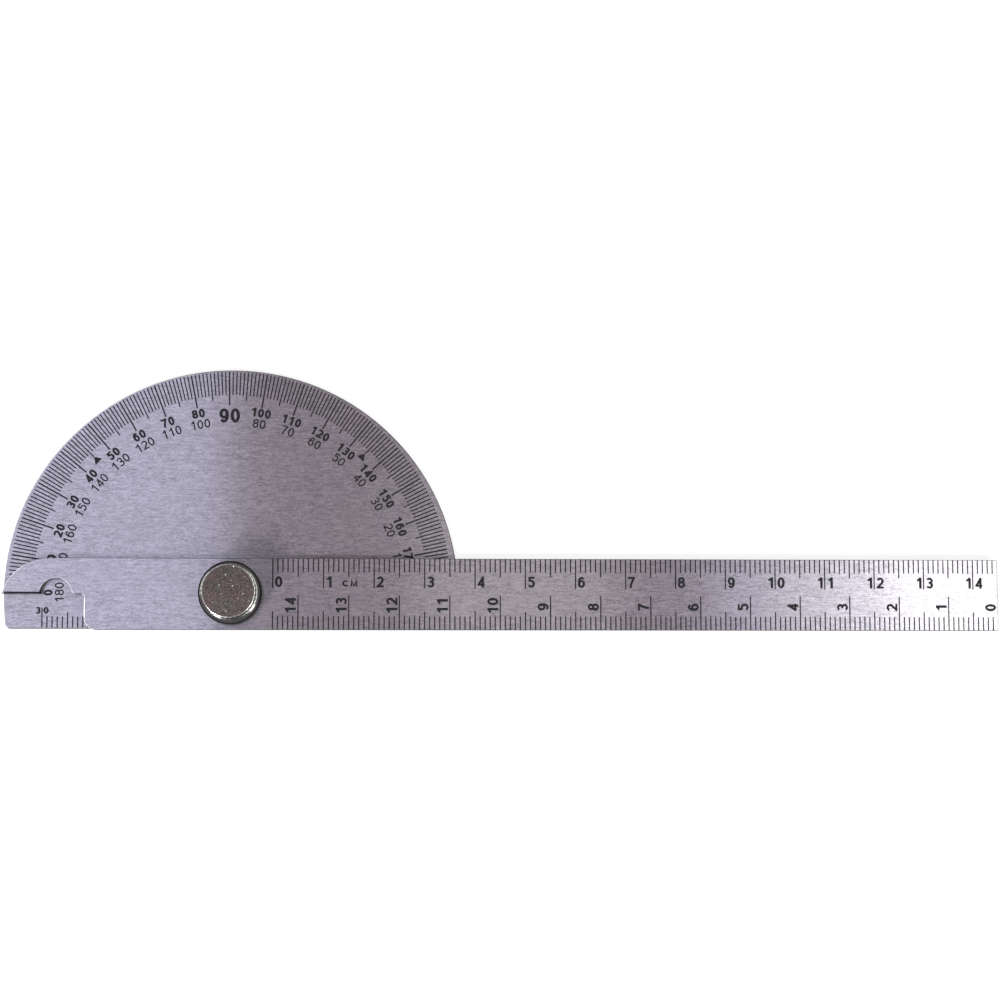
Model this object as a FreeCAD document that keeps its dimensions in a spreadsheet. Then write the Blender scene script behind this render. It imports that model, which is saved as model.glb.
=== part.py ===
"""Bevel protractor: half-round degree plate, ruler arm that swings on a stud, and the nut that clamps it.

The origin is on the pivot axis, in the plate's back face. +X runs along the arm to its square end, +Y towards
the 90 degree mark and +Z out of the marked faces. All sizes are in millimetres.
"""

import FreeCAD, Part
import math
import os

import Sketcher
from FreeCAD import Vector

# Driving sizes: name, value, what it measures.
SIZES = [
    ("plate_radius", 44.8, "half-round rim, from the pivot axis"),
    ("plate_below", 6.8, "pivot axis to the straight base edge"),
    ("plate_thickness", 1.2, "half-round plate"),
    ("plate_corner", 1.0, "rounding where the rim meets the base edge"),
    ("plate_bevel", 0.15, "bevel round the marked face"),
    ("arm_reach", 153.1, "pivot axis to the arm's square end"),
    ("arm_half_width", 7.1, "pivot axis to either working edge"),
    ("arm_thickness", 1.2, "ruler arm"),
    ("arm_bevel", 0.1, "edge break round the marked face"),
    ("pointer_overhang", 0.1, "pointer tip past the plate's rim"),
    ("pointer_round", 9.6, "round of the pointer's back"),
    ("notch_offset", 28.8, "pivot axis to the notch beside the pointer"),
    ("notch_corner", 0.7, "inner corner of the notch"),
    ("window_offset", 34.2, "pivot axis to the centre of the number window"),
    ("window_radius", 3.0, "number window"),
    ("window_lip", 0.8, "rounding between the window and the notch"),
    ("heel_corner", 2.5, "rounding of the arm's lower corner at the notch"),
    ("spacer_thickness", 0.3, "friction washer between the plate and the arm"),
    ("spacer_radius", 6.0, "friction washer"),
    ("head_radius", 5.0, "stud head, let into the plate's back"),
    ("head_height", 0.5, "stud head"),
    ("shoulder_radius", 3.5, "stud shoulder that the arm turns on"),
    ("shoulder_drop", 0.1, "stud shoulder below the arm's face, so that the nut clamps the arm"),
    ("thread_radius", 2.0, "stud thread, M4"),
    ("thread_end", 0.5, "stud end below the roof of the nut's blind hole"),
    ("thread_chamfer", 0.4, "chamfer on the stud's end"),
    ("running_clearance", 0.05, "radial clearance of what turns or slides on the stud or the hub"),
    ("seat_thickness", 0.4, "captive washer under the nut"),
    ("seat_radius", 6.4, "captive washer"),
    ("hub_radius", 3.2, "hub of the nut that the captive washer turns on"),
    ("hub_flare", 0.2, "staked lip that keeps the washer on the hub"),
    ("hub_lift", 0.05, "end of the hub above the washer's underside"),
    ("lip_height", 0.2, "staked lip, along the axis"),
    ("nut_height", 10.0, "thumb nut without its hub"),
    ("foot_radius", 6.3, "widest part of the nut, at its foot"),
    ("foot_chamfer", 0.15, "chamfer under the foot"),
    ("crown_round", 1.35, "convex round between the nut's wall and its neck"),
    ("crown_height", 1.3, "that round, along the axis"),
    ("neck_radius", 5.1, "neck under the knurled grip"),
    ("neck_width", 0.2, "neck, along the axis"),
    ("grip_radius", 5.3, "outside of the knurled grip"),
    ("grip_height", 3.8, "grip with its bevel"),
    ("grip_bevel", 0.15, "height of the bevel between the grip and the flat top"),
    ("top_radius", 5.1, "flat top of the nut"),
    ("knurl_count", 36, "grooves round the grip"),
    ("knurl_depth", 0.18, "groove"),
    ("knurl_half_width", 0.22, "groove, at the outside of the grip"),
    ("bore_depth", 6.6, "blind threaded hole in the nut, from its foot"),
]
OUT = "parts"
NEAR = 1e-4


def make_sheet(doc):
    sheet = doc.addObject("Spreadsheet::Sheet", "Sizes")
    for row, (name, value, meaning) in enumerate(SIZES, start=1):
        sheet.set(f"A{row}", name)
        sheet.set(f"B{row}", str(value))
        sheet.set(f"C{row}", meaning)
        sheet.setAlias(f"B{row}", name)
    doc.recompute()


def value(owner, expression):
    """The number that an expression of sheet cells stands for."""
    return float(owner.evalExpression(expression))


def new_body(doc, name, height="0"):
    """A body whose own zero lies at a height given as an expression."""
    body = doc.addObject("PartDesign::Body", name)
    body.Label = name
    body.setExpression("Placement.Base.z", height)
    return body


def new_sketch(body, name, plane="XY_Plane", height="0"):
    sketch = body.newObject("Sketcher::SketchObject", name)
    support = next(part for part in body.Origin.OriginFeatures if part.Role == plane)
    sketch.AttachmentSupport = [(support, "")]
    sketch.MapMode = "FlatFace"
    sketch.setExpression("AttachmentOffset.Base.z", height)
    return sketch


def bind(sketch, kind, elements, expression):
    """Adds a dimension to the sketch and ties it to an expression."""
    index = sketch.addConstraint(Sketcher.Constraint(kind, *elements, value(sketch, expression)))
    sketch.setExpression(f"Constraints[{index}]", expression)


def pin_point(sketch, edge, end, x, y):
    """Ties a point to expressions for x and y; a leading minus puts it on the origin's negative side."""
    for kind, axis, expression in (("DistanceX", -2, x), ("DistanceY", -1, y)):
        if expression == "0":
            sketch.addConstraint(Sketcher.Constraint("PointOnObject", edge, end, axis))
        elif expression.startswith("-"):
            bind(sketch, kind, (edge, end, -1, 1), expression[1:])
        else:
            bind(sketch, kind, (-1, 1, edge, end), expression)


def join(sketch, edges):
    """Adds the edges of a closed outline, each one's end tied to the next one's start."""
    for edge in edges:
        sketch.addGeometry(edge, False)
    for i in range(len(edges)):
        follower = (i + 1) % len(edges)
        sketch.addConstraint(Sketcher.Constraint("Coincident", i, 2, follower, 1))


def polygon(sketch, corners):
    """A closed outline of straight edges. Each corner is a pair of expressions."""
    points = [Vector(value(sketch, x), value(sketch, y)) for x, y in corners]
    join(sketch, [Part.LineSegment(a, b) for a, b in zip(points, points[1:] + points[:1])])
    for i, (x, y) in enumerate(corners):
        pin_point(sketch, i, 1, x, y)


def circle(body, name, radius, x="0", height="0"):
    sketch = new_sketch(body, name, height=height)
    middle = Vector(value(sketch, x), 0)
    sketch.addGeometry(Part.Circle(middle, Vector(0, 0, 1), value(sketch, radius)), False)
    pin_point(sketch, 0, 3, x, "0")
    bind(sketch, "Radius", (0,), radius)
    return sketch


def pad(body, name, sketch, length):
    made = body.newObject("PartDesign::Pad", name)
    made.Profile = (sketch, [""])
    made.setExpression("Length", length)
    body.Document.recompute()
    return made


def cut_up(body, name, sketch, length=None):
    """A pocket along the sketch's normal, of a given length or through everything."""
    made = body.newObject("PartDesign::Pocket", name)
    made.Profile = (sketch, [""])
    made.Reversed = True
    if length:
        made.setExpression("Length", length)
    else:
        made.Type = "ThroughAll"
    before = made.BaseFeature.Shape.Volume
    body.Document.recompute()
    if made.Shape.Volume >= before:
        raise RuntimeError(f"{name} cuts nothing")
    return made


def revolve(body, name, sketch):
    made = body.newObject("PartDesign::Revolution", name)
    made.Profile = (sketch, [""])
    made.ReferenceAxis = (sketch, ["V_Axis"])
    made.Angle = 360
    body.Document.recompute()
    return made


def dress(body, kind, name, size, wanted):
    """A fillet or chamfer on the edges of the newest feature that the test wants."""
    base = body.Tip
    edges = [f"Edge{i}" for i, edge in enumerate(base.Shape.Edges, start=1) if wanted(edge)]
    made = body.newObject(f"PartDesign::{kind}", name)
    made.Base = (base, edges)
    made.setExpression("Radius" if kind == "Fillet" else "Size", size)
    body.Document.recompute()
    return made


def upright_at(x, y):
    """Wants the edge that stands along Z at x, y."""
    return lambda edge: all(math.hypot(end.X - x, end.Y - y) < NEAR for end in edge.Vertexes)


def level_at(z):
    """Wants the edges that lie in the plane at height z."""
    return lambda edge: max(abs(edge.BoundBox.ZMin - z), abs(edge.BoundBox.ZMax - z)) < NEAR


def make_plate(doc):
    """Half-round plate with a straight base edge below the pivot, and a stepped hole for the stud."""
    body = new_body(doc, "protractor_plate")
    outline = new_sketch(body, "plate_outline")
    radius = value(outline, "Sizes.plate_radius")
    below = value(outline, "Sizes.plate_below")
    half_base = math.sqrt(radius**2 - below**2)
    tail = math.asin(below / radius)
    rim = Part.ArcOfCircle(Part.Circle(Vector(0, 0), Vector(0, 0, 1), radius), -tail, math.pi + tail)
    join(outline, [rim, Part.LineSegment(Vector(-half_base, -below), Vector(half_base, -below))])
    outline.addConstraint(Sketcher.Constraint("Coincident", 0, 3, -1, 1))
    outline.addConstraint(Sketcher.Constraint("Horizontal", 1))
    bind(outline, "Radius", (0,), "Sizes.plate_radius")
    bind(outline, "DistanceY", (1, 1, -1, 1), "Sizes.plate_below")
    pad(body, "plate_blank", outline, "Sizes.plate_thickness")
    dress(
        body,
        "Fillet",
        "plate_corners",
        "Sizes.plate_corner",
        lambda edge: upright_at(half_base, -below)(edge) or upright_at(-half_base, -below)(edge),
    )
    face_edges = level_at(value(body, "Sizes.plate_thickness"))
    dress(body, "Chamfer", "plate_rim_bevel", "Sizes.plate_bevel", face_edges)
    cut_up(body, "stud_hole", circle(body, "stud_hole_outline", "Sizes.shoulder_radius"))
    recess = circle(body, "head_recess_outline", "Sizes.head_radius")
    cut_up(body, "head_recess", recess, "Sizes.head_height")


def arm_outline(body):
    """Ruler blank: square right end, round-backed pointer, reading edge on the pivot's centre line."""
    outline = new_sketch(body, "arm_outline")
    reach = value(outline, "Sizes.arm_reach")
    half = value(outline, "Sizes.arm_half_width")
    notch = value(outline, "-Sizes.notch_offset")
    tip = value(outline, "-(Sizes.plate_radius + Sizes.pointer_overhang)")
    back = value(outline, "Sizes.pointer_round")
    drop = back - half
    centre = Vector(tip + math.sqrt(back**2 - drop**2), -drop)
    to_tip = math.pi - math.asin(drop / back)
    pointer = Part.ArcOfCircle(Part.Circle(centre, Vector(0, 0, 1), back), math.pi / 2, to_tip)
    corners = [Vector(notch, -half), Vector(reach, -half), Vector(reach, half), Vector(centre.x, half)]
    straight = [Part.LineSegment(a, b) for a, b in zip(corners, corners[1:])]
    reading_edge = Part.LineSegment(Vector(tip, 0), Vector(notch, 0))
    notch_side = Part.LineSegment(Vector(notch, 0), Vector(notch, -half))
    # The arc runs anticlockwise from the top edge to the tip.
    join(outline, [*straight, pointer, reading_edge, notch_side])
    pin_point(outline, 0, 1, "-Sizes.notch_offset", "-Sizes.arm_half_width")
    pin_point(outline, 1, 1, "Sizes.arm_reach", "-Sizes.arm_half_width")
    pin_point(outline, 2, 1, "Sizes.arm_reach", "Sizes.arm_half_width")
    outline.addConstraint(Sketcher.Constraint("Horizontal", 2))
    # The pointer's round starts square above its centre, so it leaves the top edge smoothly.
    outline.addConstraint(Sketcher.Constraint("Vertical", 3, 1, 3, 3))
    bind(outline, "Radius", (3,), "Sizes.pointer_round")
    pin_point(outline, 4, 1, "-(Sizes.plate_radius + Sizes.pointer_overhang)", "0")
    pin_point(outline, 5, 1, "-Sizes.notch_offset", "0")
    return outline


def make_arm(doc):
    """Ruler arm with its pointer, the window over the degree numbers, and the bore for the stud."""
    body = new_body(doc, "ruler_arm", "Sizes.plate_thickness + Sizes.spacer_thickness")
    pad(body, "arm_blank", arm_outline(body), "Sizes.arm_thickness")
    cut_up(
        body,
        "number_window",
        circle(body, "window_outline", "Sizes.window_radius", "-Sizes.window_offset"),
    )
    notch = value(body, "-Sizes.notch_offset")
    half = value(body, "Sizes.arm_half_width")
    lip = value(body, "Sizes.window_radius - Sizes.window_offset")
    dress(body, "Fillet", "heel", "Sizes.heel_corner", upright_at(notch, -half))
    dress(body, "Fillet", "notch_round", "Sizes.notch_corner", upright_at(notch, 0))
    dress(body, "Fillet", "window_round", "Sizes.window_lip", upright_at(lip, 0))
    face_edges = level_at(value(body, "Sizes.arm_thickness"))
    dress(body, "Chamfer", "arm_edge_break", "Sizes.arm_bevel", face_edges)
    bore = "Sizes.shoulder_radius + Sizes.running_clearance"
    cut_up(body, "pivot_bore", circle(body, "pivot_bore_outline", bore))


def make_stud(doc):
    """Turned stud: flush head pressed into the plate's back, shoulder for the arm, and the nut's thread."""
    body = new_body(doc, "pivot_stud")
    profile = new_sketch(body, "stud_profile", "XZ_Plane")
    arm_face = "Sizes.plate_thickness + Sizes.spacer_thickness + Sizes.arm_thickness"
    shoulder = f"{arm_face} - Sizes.shoulder_drop"
    end = f"{arm_face} + Sizes.seat_thickness + Sizes.bore_depth - Sizes.thread_end"
    polygon(
        profile,
        [
            ("0", "0"),
            ("Sizes.head_radius", "0"),
            ("Sizes.head_radius", "Sizes.head_height"),
            ("Sizes.shoulder_radius", "Sizes.head_height"),
            ("Sizes.shoulder_radius", shoulder),
            ("Sizes.thread_radius", shoulder),
            ("Sizes.thread_radius", f"{end} - Sizes.thread_chamfer"),
            ("Sizes.thread_radius - Sizes.thread_chamfer", end),
            ("0", end),
        ],
    )
    revolve(body, "stud_turning", profile)


def make_friction_washer(doc):
    """Thin washer on the stud's shoulder that keeps the arm off the plate's marks."""
    body = new_body(doc, "friction_washer", "Sizes.plate_thickness")
    pad(body, "spacer", circle(body, "spacer_outline", "Sizes.spacer_radius"), "Sizes.spacer_thickness")
    bore = "Sizes.shoulder_radius + Sizes.running_clearance"
    cut_up(body, "spacer_bore", circle(body, "spacer_bore_outline", bore))


def make_captive_washer(doc):
    """Flat washer between the nut and the arm, staked on the nut's hub so that it rises with the nut."""
    arm_face = "Sizes.plate_thickness + Sizes.spacer_thickness + Sizes.arm_thickness"
    body = new_body(doc, "captive_washer", arm_face)
    profile = new_sketch(body, "seat_profile", "XZ_Plane")
    bore = "Sizes.hub_radius + Sizes.running_clearance"
    polygon(
        profile,
        [
            (f"{bore} + Sizes.hub_flare", "0"),
            ("Sizes.seat_radius", "0"),
            ("Sizes.seat_radius", "Sizes.seat_thickness"),
            (bore, "Sizes.seat_thickness"),
            (bore, "Sizes.hub_lift + Sizes.lip_height"),
            (f"{bore} + Sizes.hub_flare", "Sizes.hub_lift"),
        ],
    )
    revolve(body, "seat_turning", profile)


def nut_profile(body):
    """Half section of the nut: staked hub, wall, crown, neck, grip and flat top, around a blind hole."""
    sketch = new_sketch(body, "nut_profile", "XZ_Plane")
    bore = "Sizes.thread_radius + Sizes.running_clearance"
    hub_end = "Sizes.seat_thickness - Sizes.hub_lift"
    grip_foot = "Sizes.nut_height - Sizes.grip_height"
    neck_foot = f"{grip_foot} - Sizes.neck_width"
    corners = [
        ("0", "Sizes.bore_depth"),
        (bore, "Sizes.bore_depth"),
        (bore, f"-({hub_end})"),
        ("Sizes.hub_radius + Sizes.hub_flare", f"-({hub_end})"),
        ("Sizes.hub_radius", f"-({hub_end} - Sizes.lip_height)"),
        ("Sizes.hub_radius", "0"),
        ("Sizes.foot_radius - Sizes.foot_chamfer", "0"),
        ("Sizes.foot_radius", "Sizes.foot_chamfer"),
        ("Sizes.foot_radius", f"{neck_foot} - Sizes.crown_height"),
        ("Sizes.neck_radius", neck_foot),
        ("Sizes.neck_radius", grip_foot),
        ("Sizes.grip_radius", grip_foot),
        ("Sizes.grip_radius", "Sizes.nut_height - Sizes.grip_bevel"),
        ("Sizes.top_radius", "Sizes.nut_height"),
        ("0", "Sizes.nut_height"),
    ]
    points = [Vector(value(sketch, x), value(sketch, y)) for x, y in corners]
    edges = [Part.LineSegment(a, b) for a, b in zip(points, points[1:] + points[:1])]
    crown = corners.index(("Sizes.neck_radius", neck_foot)) - 1
    foot, neck = points[crown], points[crown + 1]
    radius = value(sketch, "Sizes.crown_round")
    chord = neck - foot
    inward = Vector(-chord.y, chord.x).normalize()
    centre = (foot + neck) / 2 + inward * math.sqrt(radius**2 - (chord.Length / 2) ** 2)
    angles = [math.atan2(point.y - centre.y, point.x - centre.x) for point in (foot, neck)]
    edges[crown] = Part.ArcOfCircle(Part.Circle(centre, Vector(0, 0, 1), radius), *angles)
    join(sketch, edges)
    for i, (x, y) in enumerate(corners):
        pin_point(sketch, i, 1, x, y)
    bind(sketch, "Radius", (crown,), "Sizes.crown_round")
    return sketch


def make_nut(doc):
    """Thumb nut: turned body with straight knurling on its grip."""
    seat = "Sizes.plate_thickness + Sizes.spacer_thickness + Sizes.arm_thickness + Sizes.seat_thickness"
    body = new_body(doc, "thumb_nut", seat)
    revolve(body, "nut_turning", nut_profile(body))
    groove = new_sketch(body, "knurl_outline", height="Sizes.nut_height - Sizes.grip_height")
    # The groove's flanks run on past the grip's outside by as much again.
    polygon(
        groove,
        [
            ("Sizes.grip_radius - Sizes.knurl_depth", "0"),
            ("Sizes.grip_radius + Sizes.knurl_depth", "-2 * Sizes.knurl_half_width"),
            ("Sizes.grip_radius + Sizes.knurl_depth", "2 * Sizes.knurl_half_width"),
        ],
    )
    cut = cut_up(body, "knurl", groove, "Sizes.grip_height")
    ring = body.newObject("PartDesign::PolarPattern", "knurling")
    ring.Originals = [cut]
    ring.Axis = (groove, ["N_Axis"])
    ring.Angle = 360
    ring.setExpression("Occurrences", "Sizes.knurl_count")
    body.Tip = ring
    doc.recompute()


def check(doc):
    for thing in doc.Objects:
        if "Invalid" in thing.State or "Error" in thing.State:
            raise RuntimeError(f"{thing.Name} did not build: {thing.State}")
    for body in bodies(doc):
        shape = body.Shape
        if shape.isNull() or not shape.isValid() or len(shape.Solids) != 1:
            raise RuntimeError(f"{body.Label} is not one valid solid")


def bodies(doc):
    return [thing for thing in doc.Objects if thing.isDerivedFrom("PartDesign::Body")]


def main():
    doc = FreeCAD.newDocument("bevel_protractor")
    make_sheet(doc)
    for make in (make_plate, make_arm, make_stud, make_friction_washer, make_captive_washer, make_nut):
        make(doc)
    doc.recompute()
    check(doc)
    os.makedirs(OUT, exist_ok=True)
    for body in bodies(doc):
        body.Shape.exportStep(f"{OUT}/{body.Label}.step")
        box = body.Shape.BoundBox
        print(
            f"{body.Label}: {body.Shape.Volume:.2f} mm3, x {box.XMin:.2f}..{box.XMax:.2f}, "
            f"y {box.YMin:.2f}..{box.YMax:.2f}, z {box.ZMin:.2f}..{box.ZMax:.2f}"
        )


main()
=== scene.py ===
"""Looks of the bevel protractor: brushed steel, black scales, a plated thumb nut, studio, lights and camera.

Lengths of the object and the camera are in millimetres, from the pivot axis unless they say otherwise, and
those of the studio in metres. What belongs to the frame, such as a face's height or an edge's place, is read
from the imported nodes.
"""

import math

import bmesh
import bpy
from mathutils import Matrix, Vector

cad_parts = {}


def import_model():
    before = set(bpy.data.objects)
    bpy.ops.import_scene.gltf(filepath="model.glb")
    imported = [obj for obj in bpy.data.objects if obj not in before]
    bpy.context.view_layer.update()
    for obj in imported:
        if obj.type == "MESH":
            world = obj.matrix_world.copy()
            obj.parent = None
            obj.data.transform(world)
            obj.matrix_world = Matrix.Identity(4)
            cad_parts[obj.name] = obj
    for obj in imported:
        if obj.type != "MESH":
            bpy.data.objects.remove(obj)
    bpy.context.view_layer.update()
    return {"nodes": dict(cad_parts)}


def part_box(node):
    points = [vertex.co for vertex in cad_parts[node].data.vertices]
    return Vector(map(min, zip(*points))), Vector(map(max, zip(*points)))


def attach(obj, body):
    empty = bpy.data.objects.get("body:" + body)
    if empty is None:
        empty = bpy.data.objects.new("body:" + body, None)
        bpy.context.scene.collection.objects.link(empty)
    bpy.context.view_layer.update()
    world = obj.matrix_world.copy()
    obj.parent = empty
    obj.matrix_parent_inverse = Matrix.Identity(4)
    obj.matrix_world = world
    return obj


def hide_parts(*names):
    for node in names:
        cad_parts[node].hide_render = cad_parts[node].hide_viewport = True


MM = 0.001
WHITE = (1, 1, 1)
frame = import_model()


def new_object(name, data):
    """An object in the scene that shows a mesh, a lamp or a camera."""
    made = bpy.data.objects.new(name, data)
    bpy.context.scene.collection.objects.link(made)
    return made


# Marks: black fill a hair proud of the steel, in closed prisms.
PROUD = 0.02
SUNK = 0.03
STROKE_STEP = 0.0015  # each stroke of a digit ends this much above the one before
TICK_WIDTH, TENTH_TICK_WIDTH = 0.24, 0.3

# Degree plate.
SCALE_MIDDLE, SCALE_TURN = (-0.24, 0.86), 0.9  # the print stands a little off the pivot, and turned
SCALE_RADIUS = 43.6  # outer ends of the degree ticks
DEGREE_TICKS = {1: 4.67, 5: 5.67, 10: 6.67}  # every so many degrees: a tick this long
POINT_ANGLES = (45, 135)  # ticks that end in a triangle
POINT_LENGTH = 5.62
TRIANGLE_HEIGHT, TRIANGLE_WIDTH = 1.4, 1.8
OUTER_ROW, INNER_ROW = 35.8, 33.6  # radius of the middle of each row of numbers
ROW_HEIGHT = 1.78
TOP_NUMBER_ROW, TOP_NUMBER_HEIGHT = 34.85, 2.85
BASE_START, BASE_END = 7.15, 30  # first millimetre mark beside the pivot, and how many follow
BASE_TICKS = {1: 2.4, 5: 3.2, 10: 4.15}
BASE_DIGIT_HEIGHT, BASE_DIGIT_RISE = 1.35, 3.6
BASE_DIGIT_GAP, BASE_DIGIT_STRETCH = 0.28, 1.15
EDGE_GAP = 0.2  # from the base edge to its ticks

# Ruler arm.
ARM_SCALE = 145  # millimetres from the first mark to the square end
ARM_TICKS_TOP = {1: 2.75, 5: 3.7, 10: 5.95}
ARM_TICKS_BOTTOM = {1: 2.75, 5: 3.7, 10: 6.85}
ARM_DIGIT_HEIGHT, ARM_DIGIT_DROP = 2.2, 4.65  # the drop is from the arm's edge to the digit's middle
ARM_DIGIT_GAP = 0.45
ARM_STRADDLE_GAPS = (0.12, 0.48)  # either side of the tick where two digits straddle it
UPRIGHT_GAP = 0.38
UPRIGHT_RISES = {1: 4.65, 2: 4.85}  # from the lower edge to the middle of one or two upright digits
ARM_EDGE_GAP = 0.1
UNIT_PLACE, UNIT_DROP, UNIT_HEIGHT, UNIT_STRETCH = 15.2, 4.95, 1.2, 1.75

PAINTED_SHADOW_WIDTH = 0.4  # painted shadow, in black along the reading edge and up the window's left side, where it tapers off
READING_START, WINDOW_MIDDLE, WINDOW_RADIUS = -44.4, -34.2, 3.0
WINDOW_TAPER, WINDOW_STEPS = 85, 17

# Digits, in units of their height.
DIGIT_WIDTH = 0.66
ADVANCE = 0.78  # from one digit to the next
BOLD = (0.112, 0.094)  # half width of uprights, half height of bars
SMALL_BOLD = (0.122, 0.105)  # the smaller the digits, the heavier their strokes
REGULAR = (0.08, 0.072)
UNIT_PEN = (0.095, 0.12)
ARC_STEP = 15  # degrees
MITRE_LIMIT = 0.5
NEAR = 1e-4  # less than this counts as nothing


def arc(centre, radii, start, end):
    """Points along an ellipse between two angles in degrees."""
    steps = max(2, math.ceil(abs(end - start) / ARC_STEP))
    angles = [math.radians(start + (end - start) * i / steps) for i in range(steps + 1)]
    return [Vector((centre[0] + radii[0] * math.cos(a), centre[1] + radii[1] * math.sin(a))) for a in angles]


def line(*points):
    return [Vector(point) for point in points]


class Box:
    """Where the middle of a pen may go, so that a letter fills a box DIGIT_WIDTH wide and 1 high."""

    def __init__(self, pen):
        wide, high = pen
        self.left, self.right, self.low, self.top = wide, DIGIT_WIDTH - wide, high, 1 - high
        self.middle = DIGIT_WIDTH / 2
        self.reach = self.right - self.middle

    def bowl(self, foot, head, start=0, end=360, share=1.0):
        """Part of an ellipse between two heights, as wide as the box or a share of it."""
        half = (head - foot) / 2
        return arc((self.middle, foot + half), (self.reach * share, half), start, end)


def loop(points):
    """A closed stroke, from points that end where they start."""
    return points[:-1], True


def stroke(points):
    return points, False


def zero(box):
    return [loop(box.bowl(box.low, box.top))]


def one(box):
    stem = box.middle + 0.09
    flag = line((stem, 0.95), (stem - 0.13, 0.81), (stem - 0.31, 0.71))
    return [stroke(line((stem, 0), (stem, 1))), stroke(flag)]


def two(box):
    bend = box.bowl(box.top - 0.5, box.top, 160, -28)
    foot = line((0, box.low), (DIGIT_WIDTH, box.low))
    return [stroke(bend + line((box.left + 0.01, box.low))), stroke(foot)]


def three(box):
    waist = 0.52
    tongue = line((box.middle - 0.08, waist))
    upper = box.bowl(waist, box.top, -90, 155, share=0.93)
    lower = box.bowl(box.low, waist, 90, -155)
    return [stroke(tongue + upper), stroke(tongue + lower)]


def four(box):
    stem, bar = DIGIT_WIDTH * 0.74, 0.27
    return [
        stroke(line((stem, 0), (stem, 1))),
        stroke(line((0, bar), (DIGIT_WIDTH, bar))),
        stroke(line((stem, box.top), (box.left, bar))),
    ]


def five(box):
    bowl = box.bowl(box.low, 0.64, 135, -155)
    flag = line((DIGIT_WIDTH - 0.05, box.top), (box.left + 0.06, box.top), bowl[0])
    return [stroke(flag), stroke(bowl)]


def six(box):
    stem = arc((box.middle + 0.01, 0.5), (box.reach + 0.01, 0.5 - box.low), 205, 40)
    return [loop(box.bowl(box.low, 0.62)), stroke(stem)]


def seven(box):
    foot = DIGIT_WIDTH * 0.36
    slope = line((box.right, box.top), (box.middle + 0.07, 0.6), (foot + 0.05, 0.3), (foot, 0))
    return [stroke(line((0, box.top), (DIGIT_WIDTH, box.top))), stroke(slope)]


def eight(box):
    waist = 0.53
    return [loop(box.bowl(waist, box.top, share=0.9)), loop(box.bowl(box.low, waist))]


def nine(box):
    turned = Vector((DIGIT_WIDTH, 1))
    return [([turned - point for point in points], closed) for points, closed in six(box)]


def letter_c(box):
    return [stroke(box.bowl(box.low, box.top, 45, 315))]


def letter_m(box):
    return [stroke(line((box.left, 0), (box.left, 1), (box.middle, 0.1), (box.right, 1), (box.right, 0)))]


DIGITS = (zero, one, two, three, four, five, six, seven, eight, nine)
GLYPHS = {**{str(number): digit for number, digit in enumerate(DIGITS)}, "C": letter_c, "M": letter_m}


def borders(points, pen, closed):
    """The left and right side of a stroke drawn along points with an upright, elliptical pen."""
    wide, high = pen
    last = len(points) - 1
    left, right = [], []
    for i, point in enumerate(points):
        ways = []
        if closed or i > 0:
            ways.append((point - points[i - 1]).normalized())
        if closed or i < last:
            ways.append((points[(i + 1) % len(points)] - point).normalized())
        way = sum(ways, Vector((0, 0))).normalized()
        mitre = max(way.dot(ways[0]), MITRE_LIMIT)
        side = Vector((-way.y * wide, way.x * high)) / mitre
        left.append(point + side)
        right.append(point - side)
    return left, right


class Marks:
    """Black marks on one face, gathered into one closed-surface piece that rides on a body."""

    def __init__(self, name, body, face):
        self.name, self.body, self.face = name, body, face
        self.mesh = bmesh.new()

    def prism(self, outline, lift=0.0):
        """A closed prism over an anticlockwise outline in millimetres."""
        low = [self.mesh.verts.new((p.x * MM, p.y * MM, self.face - SUNK * MM)) for p in outline]
        high = [self.mesh.verts.new((p.x * MM, p.y * MM, self.face + (PROUD + lift) * MM)) for p in outline]
        self.mesh.faces.new(high)
        self.mesh.faces.new(low[::-1])
        self.walls(low, high)

    def walls(self, low, high):
        for i in range(len(low)):
            j = (i + 1) % len(low)
            self.mesh.faces.new((low[i], low[j], high[j], high[i]))

    def ring(self, outside, inside, lift):
        """A closed ring between two outlines with as many points each."""
        levels = (self.face - SUNK * MM, self.face + (PROUD + lift) * MM)
        (out_low, out_high), (in_low, in_high) = (
            [[self.mesh.verts.new((p.x * MM, p.y * MM, z)) for p in outline] for z in levels]
            for outline in (outside, inside)
        )
        self.walls(out_low, out_high)
        self.walls(in_high, in_low)
        self.walls(out_high, in_high)
        self.walls(in_low, out_low)

    def tick(self, start, end, width=TICK_WIDTH):
        side = (end - start).normalized().orthogonal() * width / 2
        self.prism([start - side, end - side, end + side, start + side])

    def text(self, words, middle, across, height, pen, stretch=1.0):
        """Letters centred on a point, reading along a direction."""
        up = across.orthogonal()
        across = across * stretch
        width = ADVANCE * (len(words) - 1) + DIGIT_WIDTH
        corner = middle - (across * width + up) * height / 2
        drawn = 0
        for i, letter in enumerate(words):
            for points, closed in GLYPHS[letter](Box(pen)):
                placed = [
                    [corner + (across * (p.x + ADVANCE * i) + up * p.y) * height for p in side]
                    for side in borders(points, pen, closed)
                ]
                self.stroke(*placed, closed, drawn * STROKE_STEP)
                drawn += 1

    def stroke(self, left, right, closed, lift):
        if closed:
            turning = sum(a.cross(b) for a, b in zip(left, left[1:] + left[:1]))
            outer, inner = (right, left) if turning > 0 else (left[::-1], right[::-1])
            self.ring(outer, inner, lift)
        else:
            self.prism(right + left[::-1], lift)

    def place(self):
        mesh = bpy.data.meshes.new(self.name)
        self.mesh.to_mesh(mesh)
        self.mesh.free()
        mesh.materials.append(INK)
        piece = new_object(self.name, mesh)
        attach(piece, self.body)


def longest(table, number):
    """The tick length of the largest step in the table that divides a number."""
    return table[max(step for step in table if number % step == 0)]


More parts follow.
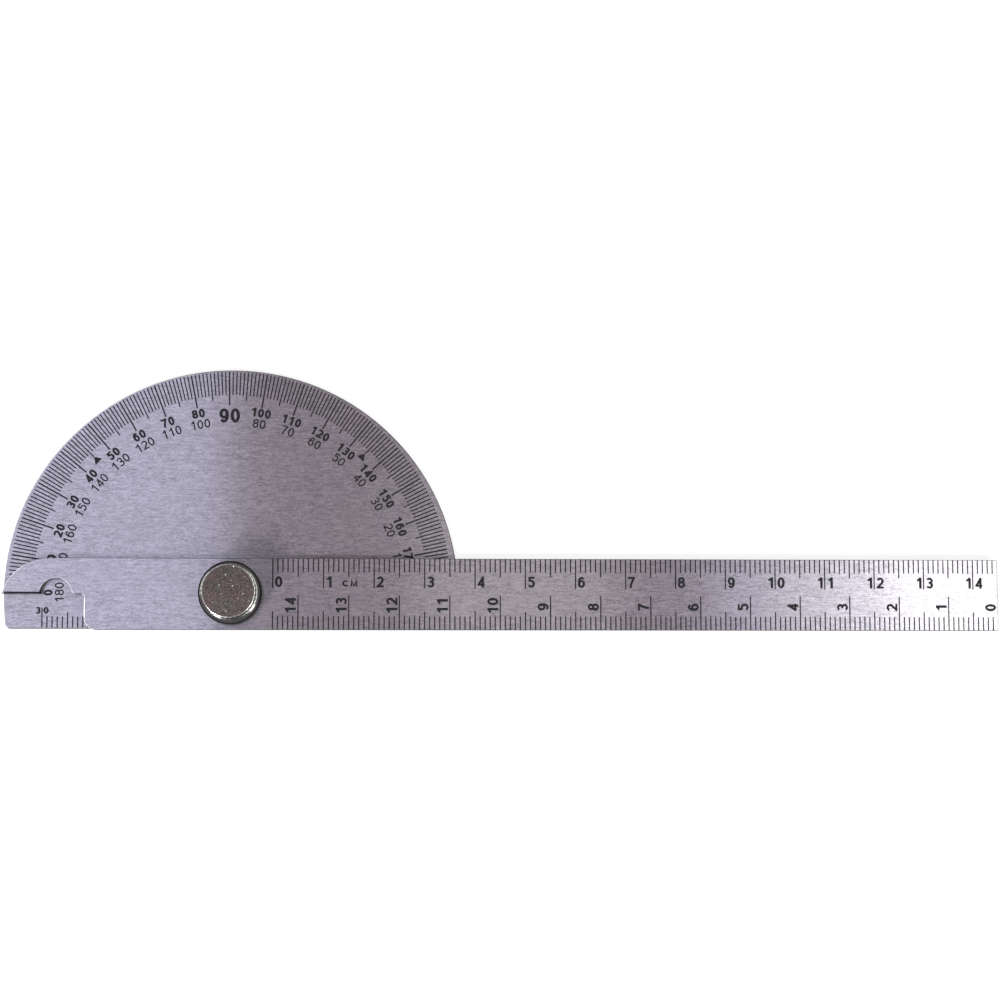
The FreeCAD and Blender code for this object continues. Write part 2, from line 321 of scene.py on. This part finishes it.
def straddle(marks, words, x, y, height, gaps, pen=BOLD, stretch=1.0):
    """Two digits, one to each side of a tick."""
    half = DIGIT_WIDTH * height * stretch / 2
    for digit, shift in zip(words, (-gaps[0] - half, gaps[1] + half)):
        marks.text(digit, Vector((x + shift, y)), Vector((1, 0)), height, pen, stretch)


def outward(degrees):
    """The direction of a degree mark, by the plate's outer numbers: 0 at the left and 180 at the right."""
    angle = math.radians(180 - degrees + SCALE_TURN)
    return Vector((math.cos(angle), math.sin(angle)))


def on_scale(degrees, radius):
    return Vector(SCALE_MIDDLE) + outward(degrees) * radius


def degree_scale(face):
    ticks = Marks("degree_ticks", "head", face)
    outer, inner = Marks("outer_numbers", "head", face), Marks("inner_numbers", "head", face)
    for degrees in range(181):
        length = POINT_LENGTH if degrees in POINT_ANGLES else longest(DEGREE_TICKS, degrees)
        width = TENTH_TICK_WIDTH if degrees % 10 == 0 else TICK_WIDTH
        ticks.tick(on_scale(degrees, SCALE_RADIUS), on_scale(degrees, SCALE_RADIUS - length), width)
    for degrees in POINT_ANGLES:
        point = on_scale(degrees, SCALE_RADIUS - POINT_LENGTH)
        inward = -outward(degrees)
        side = inward.orthogonal() * TRIANGLE_WIDTH / 2
        base = point + inward * TRIANGLE_HEIGHT
        ticks.prism([point, base + side, base - side])
    for degrees in range(0, 181, 10):
        across = -outward(degrees).orthogonal()
        if degrees == 90:
            outer.text("90", on_scale(90, TOP_NUMBER_ROW), across, TOP_NUMBER_HEIGHT, BOLD)
            continue
        outer.text(str(degrees), on_scale(degrees, OUTER_ROW), across, ROW_HEIGHT, SMALL_BOLD)
        inner.text(str(180 - degrees), on_scale(degrees, INNER_ROW), across, ROW_HEIGHT, REGULAR)
    for marks in (ticks, outer, inner):
        marks.place()


def base_scale(edge, face):
    """Millimetres along the plate's base edge, to either side of the pivot."""
    marks = Marks("base_scale", "head", face)
    up = Vector((0, 1))
    for side in (-1, 1):
        for count in range(BASE_END + 1):
            foot = Vector((side * (BASE_START + count), edge + EDGE_GAP))
            marks.tick(foot, foot + up * (longest(BASE_TICKS, count) - EDGE_GAP))
            if count and count % 10 == 0:
                place, gaps = (foot.x, edge + BASE_DIGIT_RISE), (BASE_DIGIT_GAP, BASE_DIGIT_GAP)
                straddle(marks, str(count), *place, BASE_DIGIT_HEIGHT, gaps, SMALL_BOLD, BASE_DIGIT_STRETCH)
    marks.place()


def arm_scales(low, high, face):
    """Centimetres along the arm: rising to the right at the top, and to the left, upright, at the bottom."""
    top, bottom = Marks("arm_top_scale", "arm", face), Marks("arm_bottom_scale", "arm", face)
    up, across = Vector((0, 1)), Vector((1, 0))
    half_digit = DIGIT_WIDTH * ARM_DIGIT_HEIGHT / 2
    first = high.x - ARM_SCALE
    for count in range(ARM_SCALE):
        start = Vector((first + count, high.y - ARM_EDGE_GAP))
        top.tick(start, start - up * (longest(ARM_TICKS_TOP, count) - ARM_EDGE_GAP))
        if count % 10:
            continue
        words = str(count // 10)
        y = high.y - ARM_DIGIT_DROP
        if len(words) == 1:
            middle = Vector((start.x + ARM_DIGIT_GAP + half_digit, y))
            top.text(words, middle, across, ARM_DIGIT_HEIGHT, BOLD)
        else:
            straddle(top, words, start.x, y, ARM_DIGIT_HEIGHT, ARM_STRADDLE_GAPS)
    unit = Vector((first + UNIT_PLACE, high.y - UNIT_DROP))
    top.text("CM", unit, across, UNIT_HEIGHT, UNIT_PEN, UNIT_STRETCH)
    for count in range(1, ARM_SCALE + 1):
        start = Vector((high.x - count, low.y + ARM_EDGE_GAP))
        bottom.tick(start, start + up * (longest(ARM_TICKS_BOTTOM, count) - ARM_EDGE_GAP))
    for count in range(0, ARM_SCALE, 10):
        words = str(count // 10)
        x = high.x - count - UPRIGHT_GAP - ARM_DIGIT_HEIGHT / 2
        bottom.text(words, Vector((x, low.y + UPRIGHT_RISES[len(words)])), up, ARM_DIGIT_HEIGHT, BOLD)
    for marks in (top, bottom):
        marks.place()


def reading_edge(face):
    """A painted shadow: black along the reading edge, a line on the pointer that runs up the window's left
    side, standing for the shade of the arm's edge.
    """
    marks = Marks("reading_edge", "arm", face)
    middle, reach = Vector((WINDOW_MIDDLE, 0)), WINDOW_RADIUS
    turns = [math.radians(180 - WINDOW_TAPER * i / WINDOW_STEPS) for i in range(WINDOW_STEPS + 1)]
    inner = [middle + Vector((math.cos(turn), math.sin(turn))) * reach for turn in turns]
    widths = [PAINTED_SHADOW_WIDTH * (1 - i / WINDOW_STEPS) + NEAR for i in range(WINDOW_STEPS + 1)]
    outer = [middle + (point - middle) * (1 + width / reach) for point, width in zip(inner, widths)]
    for (near, far), (near_on, far_on) in zip(zip(inner, outer), zip(inner[1:], outer[1:])):
        marks.prism([near, near_on, far_on, far])
    y = PAINTED_SHADOW_WIDTH / 2
    marks.tick(Vector((READING_START, y)), Vector((WINDOW_MIDDLE - reach, y)), PAINTED_SHADOW_WIDTH)
    marks.place()


# Thumb nut: half section as (radius, height above its seat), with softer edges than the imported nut
# and a foot that is slimmer by a tenth of a millimetre.
NUT_BORE, NUT_BORE_DEPTH = 2.05, 6.6
NUT_HUB, NUT_HUB_FLARE, NUT_HUB_END, NUT_LIP = 3.2, 0.2, 0.35, 0.2
NUT_FOOT, NUT_CHAMFER, NUT_WALL = 6.18, 0.15, 4.7
NUT_CROWN, NUT_CROWN_STEPS = 1.35, 10
NUT_NECK, NUT_NECK_FOOT = 5.1, 6.0
NUT_GRIP, NUT_GRIP_FOOT, NUT_BEVEL_FOOT = 5.3, 6.2, 9.85
NUT_TOP, NUT_HEIGHT = 5.1, 10.0
KNURLS, KNURL_DEPTH, KNURL_HALF_WIDTH = 36, 0.18, 0.22
KNURL_STEPS = 10  # columns to each knurl
EDGE_ROUND, EDGE_ROUND_STEPS = 0.07, 3
PLATED_LOOK, WORN_AND_SHEEN_LOOK, GRAINED_LOOK = range(3)  # places in NUT_LOOKS
STRAIGHT = -0.97  # cosine between a corner's sides from which it counts as smooth


def nut_section():
    """Corners of the half section, from the bore's roof round to the top's middle."""
    foot, neck = Vector((NUT_FOOT, NUT_WALL)), Vector((NUT_NECK, NUT_NECK_FOOT))
    chord = neck - foot
    inward = chord.orthogonal().normalized()
    centre = (foot + neck) / 2 + inward * math.sqrt(NUT_CROWN**2 - (chord.length / 2) ** 2)
    start, end = ((point - centre) for point in (foot, neck))
    sweep = start.angle(end)
    first = math.atan2(start.y, start.x)
    turns = [first + sweep * i / NUT_CROWN_STEPS for i in range(NUT_CROWN_STEPS + 1)]
    crown = [centre + Vector((math.cos(turn), math.sin(turn))) * NUT_CROWN for turn in turns]
    below = line(
        (0, NUT_BORE_DEPTH),
        (NUT_BORE, NUT_BORE_DEPTH),
        (NUT_BORE, -NUT_HUB_END),
        (NUT_HUB + NUT_HUB_FLARE, -NUT_HUB_END),
        (NUT_HUB, NUT_LIP - NUT_HUB_END),
        (NUT_HUB, 0),
        (NUT_FOOT - NUT_CHAMFER, 0),
        (NUT_FOOT, NUT_CHAMFER),
    )
    grip = line((NUT_NECK, NUT_GRIP_FOOT), (NUT_GRIP, NUT_GRIP_FOOT), (NUT_GRIP, NUT_BEVEL_FOOT))
    return below + crown + grip + line((NUT_TOP, NUT_HEIGHT), (0, NUT_HEIGHT))


def softened(corners, size):
    """The outline with each corner cut by a short arc of up to that size."""
    soft = [corners[0]]
    for before, corner, after in zip(corners, corners[1:], corners[2:]):
        back, on = before - corner, after - corner
        if back.normalized().dot(on.normalized()) < STRAIGHT:
            soft.append(corner)
            continue
        reach = min(size, back.length * 0.4, on.length * 0.4)
        start, end = corner + back.normalized() * reach, corner + on.normalized() * reach
        for i in range(EDGE_ROUND_STEPS + 1):
            share = i / EDGE_ROUND_STEPS
            soft.append(start.lerp(corner, share).lerp(corner.lerp(end, share), share))
    return soft + [corners[-1]]


def knurl_depth(radius, height, turn):
    """How deep the knurling cuts at that place of the nut's outside."""
    if height < NUT_GRIP_FOOT - NEAR or height > NUT_HEIGHT:
        return 0.0
    share = turn * KNURLS / (2 * math.pi) % 1.0
    sideways = min(share, 1 - share) * 2 * math.pi * NUT_GRIP / KNURLS
    floor_radius = NUT_GRIP - KNURL_DEPTH * max(0.0, 1 - sideways / KNURL_HALF_WIDTH)
    return max(0.0, radius - floor_radius)


def nut_rings(mesh, section, seat):
    """The section's points, turned: a ring of vertices for each, or one vertex where it meets the axis."""
    rings = []
    for point in section:
        height = seat + point.y * MM
        if point.x < NEAR:
            rings.append([mesh.verts.new((0, 0, height))])
            continue
        ring = []
        for column in range(KNURLS * KNURL_STEPS):
            turn = 2 * math.pi * column / (KNURLS * KNURL_STEPS)
            radius = (point.x - knurl_depth(point.x, point.y, turn)) * MM
            ring.append(mesh.verts.new((radius * math.cos(turn), radius * math.sin(turn), height)))
        rings.append(ring)
    return rings


def nut_look(start, end):
    """Which of the nut's looks a band of its section has: plating, a worn edge lightened also as a painted
    highlight, or grained top.
    """
    if min(start.y, end.y) > NUT_HEIGHT - NEAR and max(start.x, end.x) < NUT_TOP:
        return GRAINED_LOOK
    # The top bevel: worn plating, lightened also as a painted highlight ring.
    if min(start.y, end.y) > NUT_BEVEL_FOOT - EDGE_ROUND:
        return WORN_AND_SHEEN_LOOK
    return PLATED_LOOK


def nut_band(mesh, below, above, look):
    """The faces between two rings, either of which may be a single vertex."""
    columns = max(len(below), len(above))
    for column in range(columns):
        after = (column + 1) % columns
        corners = [below[column % len(below)], below[after % len(below)]]
        corners += [above[after % len(above)], above[column % len(above)]]
        corners = [corner for i, corner in enumerate(corners) if corner is not corners[i - 1]]
        face = mesh.faces.new(corners)
        face.material_index = look
        face.smooth = True


def thumb_nut(seat):
    """The nut as one closed, finely divided turning with straight knurls."""
    section = softened(nut_section(), EDGE_ROUND)
    mesh = bmesh.new()
    rings = nut_rings(mesh, section, seat)
    for below, above, start, end in zip(rings, rings[1:], section, section[1:]):
        nut_band(mesh, below, above, nut_look(start, end))
    made = bpy.data.meshes.new("thumb_nut_finish")
    mesh.to_mesh(made)
    mesh.free()
    for look in NUT_LOOKS:
        made.materials.append(look)
    piece = new_object("thumb_nut_finish", made)
    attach(piece, "nut")
    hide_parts("thumb_nut")


# Materials: linear colours.
# Painted light on the steel's bevels: a painted highlight where they face left, painted shade elsewhere.
PAINTED_SHADE_BEVEL, PAINTED_HIGHLIGHT_BEVEL = (0.06, 0.055, 0.06), (0.68, 0.66, 0.68)
# Painted shade on the steel's upright walls.
PAINTED_SHADE_WALL = (0.05, 0.045, 0.05)
PAINTED_GLINT = (0.3, 0.285, 0.265)  # painted highlight: single grains in the nut's top painted bright, as sparkle
INK_DARK, INK_LIGHT = (0.002, 0.002, 0.003), (0.007, 0.006, 0.008)


def link(tree, source, target):
    tree.links.new(source, target)


def node(tree, kind, **settings):
    made = tree.nodes.new(kind)
    for name, setting in settings.items():
        setattr(made, name, setting)
    return made


def material(name):
    """A material with an empty tree but for its Principled shader."""
    made = bpy.data.materials.new(name)
    made.use_nodes = True
    tree = made.node_tree
    shader = tree.nodes["Principled BSDF"]
    return made, tree, shader


def noise(tree, grain, detail=3.0, roughness=0.6):
    """Noise in the piece's own coordinates, with a grain of that many millimetres along x, y and z."""
    coordinates = node(tree, "ShaderNodeTexCoord")
    mapping = node(tree, "ShaderNodeMapping")
    mapping.inputs["Scale"].default_value = [1 / (size * MM) for size in grain]
    texture = node(tree, "ShaderNodeTexNoise")
    texture.inputs["Scale"].default_value = 1
    texture.inputs["Detail"].default_value = detail
    texture.inputs["Roughness"].default_value = roughness
    link(tree, coordinates.outputs["Object"], mapping.inputs["Vector"])
    link(tree, mapping.outputs["Vector"], texture.inputs["Vector"])
    return texture.outputs["Fac"]


def spread(tree, source, low, high, start=0.3, end=0.7):
    """The source, from start to end, brought to low to high."""
    made = node(tree, "ShaderNodeMapRange")
    for name, number in (("From Min", start), ("From Max", end), ("To Min", low), ("To Max", high)):
        made.inputs[name].default_value = number
    link(tree, source, made.inputs["Value"])
    return made.outputs["Result"]


def mixed(tree, factor, first, second):
    """From the first colour to the second; either one is three numbers or comes from another node."""
    made = node(tree, "ShaderNodeMix", data_type="RGBA")
    link(tree, factor, made.inputs["Factor"])
    colour_a, colour_b = made.inputs[6], made.inputs[7]
    for socket, colour in ((colour_a, first), (colour_b, second)):
        if isinstance(colour, tuple):
            socket.default_value = (*colour, 1)
        else:
            link(tree, colour, socket)
    return made.outputs[2]


def mixed_shaders(tree, factor, first, second):
    made = node(tree, "ShaderNodeMixShader")
    link(tree, factor, made.inputs[0])
    link(tree, first.outputs[0], made.inputs[1])
    link(tree, second.outputs[0], made.inputs[2])
    return made


def bump(tree, shader, height, distance, strength):
    """Fine relief that follows a value, as deep as the distance in millimetres."""
    made = node(tree, "ShaderNodeBump")
    made.inputs["Strength"].default_value = strength
    made.inputs["Distance"].default_value = distance * MM
    link(tree, height, made.inputs["Height"])
    link(tree, made.outputs["Normal"], shader.inputs["Normal"])


def halved(tree, first, second):
    """The mean of two values."""
    made = node(tree, "ShaderNodeMix", data_type="FLOAT")
    made.inputs["Factor"].default_value = 0.5
    link(tree, first, made.inputs["A"])
    link(tree, second, made.inputs["B"])
    return made.outputs["Result"]


def arithmetic(tree, operation, *values):
    """One step of arithmetic on numbers or on values from other nodes."""
    made = node(tree, "ShaderNodeMath", operation=operation)
    for socket, value in zip(made.inputs, values):
        if isinstance(value, (int, float)):
            socket.default_value = value
        else:
            link(tree, value, socket)
    return made.outputs[0]


def facing(tree):
    """The piece's own normal: how far it faces along x, and how far up or down."""
    coordinates = node(tree, "ShaderNodeTexCoord")
    split = node(tree, "ShaderNodeSeparateXYZ")
    link(tree, coordinates.outputs["Normal"], split.inputs["Vector"])
    return split.outputs["X"], arithmetic(tree, "ABSOLUTE", split.outputs["Z"])


def stretch_across(tree, shader):
    """Lets an anisotropic shader draw its reflections out along the piece's own y, across the brushing."""
    across = node(tree, "ShaderNodeCombineXYZ")
    across.inputs["Y"].default_value = 1
    turned = node(tree, "ShaderNodeVectorTransform", vector_type="VECTOR")
    turned.convert_from, turned.convert_to = "OBJECT", "WORLD"
    link(tree, across.outputs["Vector"], turned.inputs["Vector"])
    link(tree, turned.outputs["Vector"], shader.inputs["Tangent"])


def brushed_steel(name, dark, light, shade):
    """Steel brushed along x: fine streaks over slow patches, glossier along the brushing than across it.

    Its bevels carry a painted highlight where they face left and painted shade elsewhere, and its upright
    walls carry painted shade.
    """
    made, tree, shader = material(name)
    streaks = halved(tree, noise(tree, (1.9, 0.3, 1.9), 3, 0.65), noise(tree, (0.5, 0.2, 0.5), 2, 0.6))
    patches = noise(tree, (16, 5, 16), 2)
    tone = mixed(tree, spread(tree, streaks, 0, 1, 0.35, 0.65), dark, light)
    tone = mixed(tree, spread(tree, patches, 0, 0.3), tone, shade)
    along, level = facing(tree)
    # Painted light: left-facing bevels get a painted highlight, the others painted shade.
    painted_bevel_light = mixed(tree, spread(tree, along, 1, 0, -0.45, -0.1), PAINTED_SHADE_BEVEL, PAINTED_HIGHLIGHT_BEVEL)
    tone = mixed(tree, spread(tree, level, 1, 0, 0.9, 0.97), tone, painted_bevel_light)
    # Painted shade: the upright walls are darkened.
    tone = mixed(tree, spread(tree, level, 1, 0, 0.3, 0.5), tone, PAINTED_SHADE_WALL)
    link(tree, tone, shader.inputs["Base Color"])
    shader.inputs["Metallic"].default_value = 0.7
    shader.inputs["Anisotropic"].default_value = 0.95
    link(tree, spread(tree, streaks, 0.15, 0.19), shader.inputs["Roughness"])
    stretch_across(tree, shader)
    bump(tree, shader, streaks, 0.003, 0.5)
    return made


def turned_metal(name, dark, light, roughness, grain=0.6, distance=0.004, edge=1.0):
    """Machined or rolled metal with a faint, even grain; edge dims what it mirrors at glancing angles."""
    made, tree, shader = material(name)
    cloud = halved(tree, noise(tree, (grain, grain, grain), 4), noise(tree, (6, 6, 6), 2))
    link(tree, mixed(tree, spread(tree, cloud, 0, 1), dark, light), shader.inputs["Base Color"])
    shader.inputs["Metallic"].default_value = 1
    shader.inputs["Specular Tint"].default_value = (edge, edge, edge, 1)
    link(tree, spread(tree, cloud, *roughness), shader.inputs["Roughness"])
    bump(tree, shader, cloud, distance, 0.4)
    return made


def cells(tree, size):
    """A random colour for each cell of that many millimetres."""
    coordinates = node(tree, "ShaderNodeTexCoord")
    texture = node(tree, "ShaderNodeTexVoronoi")
    texture.inputs["Scale"].default_value = 1 / (size * MM)
    link(tree, coordinates.outputs["Object"], texture.inputs["Vector"])
    split = node(tree, "ShaderNodeSeparateColor")
    link(tree, texture.outputs["Color"], split.inputs["Color"])
    return split.outputs["Red"]


def grained_top():
    """Cast, grained face: dark pits and grains, redder in some places than in others, and a few grains
    painted bright as painted highlights.
    """
    made, tree, shader = material("nut_top_grained")
    grains, painted_glints = cells(tree, 0.13), cells(tree, 0.17)
    cloud = noise(tree, (4.5, 4.5, 4.5), 2)
    warmth = spread(tree, cloud, 0, 1, 0.4, 0.6)
    dark = mixed(tree, warmth, (0.008, 0.0072, 0.0066), (0.011, 0.0072, 0.0076))
    light = mixed(tree, warmth, (0.042, 0.036, 0.034), (0.05, 0.033, 0.034))
    tone = mixed(tree, grains, dark, light)
    # Painted highlight: a few grains painted bright, as sparkle.
    tone = mixed(tree, spread(tree, painted_glints, 0, 1, 0.994, 0.997), tone, PAINTED_GLINT)
    link(tree, tone, shader.inputs["Base Color"])
    shader.inputs["Metallic"].default_value = 1
    link(tree, spread(tree, grains, 0.35, 0.55, 0, 1), shader.inputs["Roughness"])
    bump(tree, shader, grains, 0.03, 0.5)
    return made


def ink():
    """Matt black fill, a little uneven."""
    made, tree, shader = material("marking_ink")
    cloud = noise(tree, (0.35, 0.2, 0.35), 3)
    link(tree, mixed(tree, spread(tree, cloud, 0, 1), INK_DARK, INK_LIGHT), shader.inputs["Base Color"])
    link(tree, spread(tree, cloud, 0.5, 0.65), shader.inputs["Roughness"])
    shader.inputs["Specular IOR Level"].default_value = 0.05
    return made


# Studio, in metres.
FLOOR_HALF, FLOOR_DROP = 2.0, 0.00002  # half its side, and how far it is below the object
FLOOR_COLOUR = (0.85, 0.85, 0.85)
FLOOR_GLOW = 0.86  # the share of plain white where the floor is seen; the rest shows light and shadow
WORLD_LIGHT = 0.6


def floor_look():
    """Pale floor: bright where it is seen or mirrored, with the object's shadow, and clear from below."""
    made, tree, shader = material("studio_floor")
    tree.nodes.remove(shader)
    output = tree.nodes["Material Output"]
    path, geometry = node(tree, "ShaderNodeLightPath"), node(tree, "ShaderNodeNewGeometry")
    diffuse = node(tree, "ShaderNodeBsdfDiffuse")
    glow = node(tree, "ShaderNodeEmission")
    clear = node(tree, "ShaderNodeBsdfTransparent")
    diffuse.inputs["Color"].default_value = (*FLOOR_COLOUR, 1)
    glow.inputs["Color"].default_value = (*WHITE, 1)
    glossy, through = path.outputs["Is Glossy Ray"], path.outputs["Is Transmission Ray"]
    mirrored = arithmetic(tree, "MAXIMUM", glossy, through)
    seen = arithmetic(tree, "MULTIPLY", path.outputs["Is Camera Ray"], FLOOR_GLOW)
    share = arithmetic(tree, "MAXIMUM", seen, mirrored)
    lit = mixed_shaders(tree, share, diffuse, glow)
    sided = mixed_shaders(tree, geometry.outputs["Backfacing"], lit, clear)
    link(tree, sided.outputs[0], output.inputs["Surface"])
    return made


def floor(level):
    mesh = bpy.data.meshes.new("floor")
    ways = ((-1, -1), (1, -1), (1, 1), (-1, 1))
    corners = [(x * FLOOR_HALF, y * FLOOR_HALF, level) for x, y in ways]
    mesh.from_pydata(corners, [], [(0, 1, 2, 3)])
    mesh.materials.append(floor_look())
    plane = new_object("floor", mesh)


def world():
    """Even white surroundings: at full strength where they are seen or mirrored, softer as light."""
    made = bpy.data.worlds.new("studio")
    bpy.context.scene.world = made
    made.use_nodes = True
    tree = made.node_tree
    path = node(tree, "ShaderNodeLightPath")
    shown = path.outputs["Is Camera Ray"]
    for kind in ("Is Glossy Ray", "Is Transmission Ray"):
        shown = arithmetic(tree, "MAXIMUM", shown, path.outputs[kind])
    strength = spread(tree, shown, WORLD_LIGHT, 1, 0, 1)
    link(tree, strength, tree.nodes["Background"].inputs["Strength"])
    tree.nodes["Background"].inputs["Color"].default_value = (*WHITE, 1)


def softbox(name, middle, size, radiance, colour, target=None, mirrored_only=False):
    """An area lamp of a given brightness, facing down or at a target."""
    lamp = bpy.data.lights.new(name, "AREA")
    lamp.shape = "RECTANGLE"
    lamp.size, lamp.size_y = size
    lamp.energy = radiance * math.pi * size[0] * size[1]
    lamp.color = colour
    made = new_object(name, lamp)
    made.location = middle
    if target is not None:
        made.rotation_euler = (Vector(target) - Vector(middle)).to_track_quat("-Z", "Y").to_euler()
    made.visible_camera = False
    made.visible_diffuse = not mirrored_only


# Panels that show only where they are mirrored, side by side along the brushing. They light nothing matt.
PANEL_HEIGHT, PANEL_LENGTH, PANEL_MIDDLE = 0.9, 1.5, 0.1
PANELS = {
    # name: (from x, to x, brightness, colour)
    "left_window": (-0.95, -0.06, 3.0, (0.66, 0.8, 1.0)),
    "left_fill": (-0.95, -0.14, 0.6, (0.9, 1.0, 0.9)),
    "middle_strip": (0.055, 0.17, 1.2, (0.87, 1.0, 0.9)),
    "right_edge": (0.23, 0.265, 2.2, (0.66, 0.8, 1.0)),
    "right_slope": (0.265, 0.3, 3.3, (0.86, 1.0, 0.97)),
    "right_rise": (0.3, 0.335, 5.2, (0.86, 1.0, 1.0)),
    "right_window": (0.335, 1.0, 9.6, (0.87, 1.0, 0.9)),
}
LAMPS = {
    # name: (middle, size, brightness, what it is aimed at)
    "high_key": ((-0.4, -0.5, 0.85), (0.25, 0.25), 135.0, (0, 0, 0)),
    "nut_glint": ((0.27, -0.18, 0.24), (0.1, 0.2), 18.0, (0, 0, 0.008)),
    "left_glint": ((-0.8, 0.3, 0.1), (0.7, 0.16), 9.0, (0, 0, 0)),
}


def lights():
    for name, (start, end, brightness, colour) in PANELS.items():
        middle = ((start + end) / 2, PANEL_MIDDLE, PANEL_HEIGHT)
        softbox(name, middle, (end - start, PANEL_LENGTH), brightness, colour, mirrored_only=True)
    for name, (middle, size, brightness, target) in LAMPS.items():
        softbox(name, middle, size, brightness, WHITE, target)


# Camera, in millimetres.
CAMERA_TARGET = (53.15, 19.0, 1.2)
CAMERA_TILT = (-3.1, -5.7)  # degrees from straight down, towards -x and -y
CAMERA_ROLL = 0.07  # degrees
CAMERA_DISTANCE = 460
VIEW_WIDTH = 199.9  # at the target


def camera():
    data = bpy.data.cameras.new("camera")
    made = new_object("camera", data)
    back = Vector((*(math.tan(math.radians(tilt)) for tilt in CAMERA_TILT), 1)).normalized()
    roll = math.radians(CAMERA_ROLL)
    right = Vector((math.sin(roll), math.cos(roll), 0)).cross(back).normalized()
    up = back.cross(right)
    place = (Vector(CAMERA_TARGET) + back * CAMERA_DISTANCE) * MM
    made.matrix_world = Matrix.Translation(place) @ Matrix((right, up, back)).transposed().to_4x4()
    data.lens = data.sensor_width * CAMERA_DISTANCE / VIEW_WIDTH
    data.clip_start, data.clip_end = 0.01, 10
    bpy.context.scene.camera = made


def dress(node_name, look):
    """Gives a carried CAD node its material."""
    for slot in frame["nodes"][node_name].material_slots:
        slot.material = look


# The object.
INK = ink()
STEEL = brushed_steel(
    "plate_steel_brushed", (0.071, 0.061, 0.074), (0.194, 0.164, 0.188), (0.133, 0.114, 0.13)
)
ARM_STEEL = brushed_steel(
    "arm_steel_brushed", (0.075, 0.064, 0.077), (0.2, 0.169, 0.194), (0.14, 0.119, 0.137)
)
STUD = turned_metal("stud_steel_turned", (0.3, 0.29, 0.3), (0.42, 0.41, 0.42), (0.25, 0.4))
WASHER = turned_metal("captive_washer_plated", (0.09, 0.085, 0.09), (0.16, 0.15, 0.16), (0.2, 0.3))
BRASS = turned_metal("washer_brass_rolled", (0.5, 0.36, 0.16), (0.62, 0.47, 0.24), (0.25, 0.4))
PLATING = turned_metal(
    "nut_plating_dark", (0.055, 0.052, 0.054), (0.095, 0.088, 0.09), (0.14, 0.2), distance=0.001, edge=0.15
)
# Worn plating on the top bevel, lighter also as a painted highlight: the bright ring round the nut's top.
WORN_AND_SHEEN = turned_metal("nut_edge_worn_and_sheen", (0.08, 0.075, 0.07), (0.25, 0.24, 0.22), (0.15, 0.3), 0.25)
NUT_LOOKS = [PLATING, WORN_AND_SHEEN, grained_top()]  # in the order of PLATED_LOOK, WORN_AND_SHEEN_LOOK and GRAINED_LOOK

dress("protractor_plate", STEEL)
dress("ruler_arm", ARM_STEEL)
dress("pivot_stud", STUD)
dress("friction_washer", BRASS)
dress("captive_washer", WASHER)
dress("thumb_nut", PLATING)
thumb_nut(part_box("captive_washer")[1].z)

plate_low, plate_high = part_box("protractor_plate")
arm_low, arm_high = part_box("ruler_arm")
degree_scale(plate_high.z)
base_scale(plate_low.y / MM, plate_high.z)
arm_scales(arm_low / MM, arm_high / MM, arm_high.z)
reading_edge(arm_high.z)

# Its picture.
camera()
floor(plate_low.z - FLOOR_DROP)
world()
lights()
bpy.context.scene.view_settings.view_transform = "Standard"
